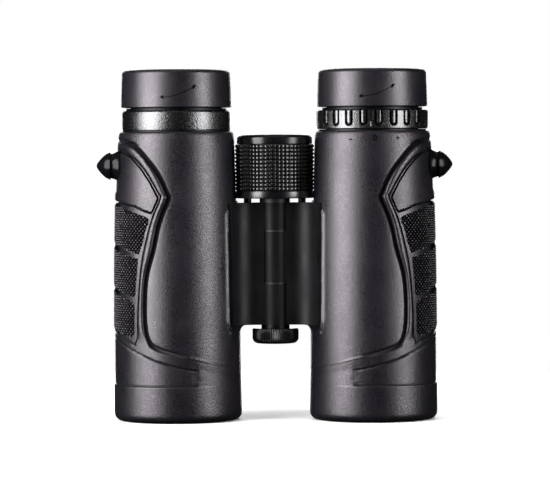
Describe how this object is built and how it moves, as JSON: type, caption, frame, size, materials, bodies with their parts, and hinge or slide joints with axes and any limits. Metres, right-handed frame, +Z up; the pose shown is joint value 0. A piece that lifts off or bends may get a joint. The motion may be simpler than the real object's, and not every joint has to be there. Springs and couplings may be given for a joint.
{
  "type": "binoculars",
  "caption": "Compact roof prism binoculars with rubber armour, a central focus wheel, twist-up eyecups and a folding hinge.",
  "frame": {"origin": "centre of the bounding box's bottom face, on the hinge axis at the level of the objective rims", "axes": "+Z up along the hinge towards the eyecups, +X towards the barrel with the diopter ring, -Y towards the thumb side"},
  "size_m": [0.1308, 0.047, 0.1285],
  "materials": {
    "casting": "gloss black paint",
    "armor": "satin, fine grain",
    "grip": "satin, small raised diamonds",
    "lug": "satin",
    "cell": "black anodised",
    "objective_glass": "coated, green-violet sheen",
    "inner_glass": "clear",
    "prism_glass": "clear",
    "eye_glass": "coated, faint amber sheen",
    "seal": "matt",
    "steel": "turned",
    "bronze": "turned",
    "dark_chrome": "satin dark chrome",
    "diopter_metal": "satin dark chrome, bright ribs",
    "holder": "matt dark anodised",
    "eyecup_rubber": "matt",
    "inner_plastic": "matt",
    "wheel_black": "gloss",
    "wheel_rubber": "gloss, knurled",
    "cap_black": "gloss"
  },
  "bodies": {
    "left_barrel": {"left_case": "casting", "left_armor": "armor", "left_grip": "grip", "left_strap_lug": "lug", "left_objective_cell": "cell", "left_objective_crown": "objective_glass", "left_objective_flint": "inner_glass", "left_objective_retainer": "cell", "left_objective_seal": "seal", "left_prism_cage": "holder", "left_half_penta_prism": "prism_glass", "left_roof_prism": "prism_glass", "left_eyepiece_housing": "cell", "left_ocular_cell": "cell", "left_field_lens": "inner_glass", "left_eye_lens": "eye_glass", "left_trim_ring": "dark_chrome", "hinge_shaft": "steel", "hinge_washer_low": "inner_plastic", "hinge_washer_high": "inner_plastic", "wheel_washer": "inner_plastic", "shaft_nut": "steel", "tripod_socket": "cell"},
    "right_barrel": {"right_case": "casting", "right_armor": "armor", "right_grip": "grip", "right_strap_lug": "lug", "right_objective_cell": "cell", "right_objective_crown": "objective_glass", "right_objective_flint": "inner_glass", "right_objective_retainer": "cell", "right_objective_seal": "seal", "right_prism_cage": "holder", "right_half_penta_prism": "prism_glass", "right_roof_prism": "prism_glass", "right_eyepiece_housing": "cell"},
    "left_focus": {"left_focus_yoke": "holder", "left_focus_lens": "inner_glass", "left_focus_rod": "cell"},
    "right_focus": {"right_focus_yoke": "holder", "right_focus_lens": "inner_glass", "right_focus_rod": "cell"},
    "focus_wheel": {"wheel_hub": "wheel_black", "wheel_grip": "wheel_rubber", "wheel_cap": "wheel_black", "focus_screw": "bronze"},
    "focus_disc": {"focus_disc": "steel"},
    "left_cup_lift": {"left_eyecup_lift": "inner_plastic"},
    "left_cup": {"left_eyecup_core": "inner_plastic", "left_eyecup_skin": "eyecup_rubber"},
    "right_cup_lift": {"right_eyecup_lift": "inner_plastic"},
    "right_cup": {"right_eyecup_core": "inner_plastic", "right_eyecup_skin": "eyecup_rubber"},
    "diopter": {"diopter_ring": "diopter_metal"},
    "right_ocular": {"right_ocular_cell": "cell", "right_field_lens": "inner_glass", "right_eye_lens": "eye_glass", "diopter_pin": "steel"},
    "tripod_cap": {"tripod_cap": "cap_black"}
  },
  "joints": [
    {"name": "interpupillary_hinge", "type": "hinge", "parent": "left_barrel", "child": "right_barrel", "pos_m": [0, 0, 0.0571], "axis": [0, 0, 1], "range_deg": [-76, 0]},
    {"name": "focus_wheel_turn", "type": "hinge", "parent": "left_barrel", "child": "focus_wheel", "pos_m": [0, 0, 0.0929], "axis": [0, 0, 1], "range_deg": [-200, 200]},
    {"name": "focus_disc_travel", "type": "slide", "parent": "left_barrel", "child": "focus_disc", "axis": [0, 0, 1], "range_m": [-0.0018, 0.0018]},
    {"name": "left_focus_travel", "type": "slide", "parent": "left_barrel", "child": "left_focus", "axis": [0, 0, 1], "range_m": [-0.0018, 0.0018]},
    {"name": "right_focus_travel", "type": "slide", "parent": "right_barrel", "child": "right_focus", "axis": [0, 0, 1], "range_m": [-0.0018, 0.0018]},
    {"name": "left_eyecup_lift_travel", "type": "slide", "parent": "left_barrel", "child": "left_cup_lift", "axis": [0, 0, 1], "range_m": [0, 0.007]},
    {"name": "left_eyecup_twist", "type": "hinge", "parent": "left_cup_lift", "child": "left_cup", "pos_m": [-0.036, 0, 0.1215], "axis": [0, 0, 1], "range_deg": [0, 270]},
    {"name": "right_eyecup_lift_travel", "type": "slide", "parent": "right_barrel", "child": "right_cup_lift", "axis": [0, 0, 1], "range_m": [0, 0.007]},
    {"name": "right_eyecup_twist", "type": "hinge", "parent": "right_cup_lift", "child": "right_cup", "pos_m": [0.036, 0, 0.1215], "axis": [0, 0, 1], "range_deg": [0, 270]},
    {"name": "diopter_turn", "type": "hinge", "parent": "right_barrel", "child": "diopter", "pos_m": [0.036, 0, 0.1099], "axis": [0, 0, 1], "range_deg": [-35, 35]},
    {"name": "right_ocular_travel", "type": "slide", "parent": "right_barrel", "child": "right_ocular", "axis": [0, 0, 1], "range_m": [-0.0008, 0.0008]},
    {"name": "tripod_cap_removal", "type": "slide", "parent": "left_barrel", "child": "tripod_cap", "axis": [0, 0, -1], "range_m": [0, 0.025]}
  ],
  "couplings": [
    {"joint": "focus_disc_travel", "follows": "focus_wheel_turn", "m_per_rad": 0.0005156},
    {"joint": "left_focus_travel", "follows": "focus_wheel_turn", "m_per_rad": 0.0005156},
    {"joint": "right_focus_travel", "follows": "focus_wheel_turn", "m_per_rad": 0.0005156},
    {"joint": "left_eyecup_lift_travel", "follows": "left_eyecup_twist", "m_per_rad": 0.001485},
    {"joint": "right_eyecup_lift_travel", "follows": "right_eyecup_twist", "m_per_rad": 0.001485},
    {"joint": "right_ocular_travel", "follows": "diopter_turn", "m_per_rad": 0.001309}
  ]
}
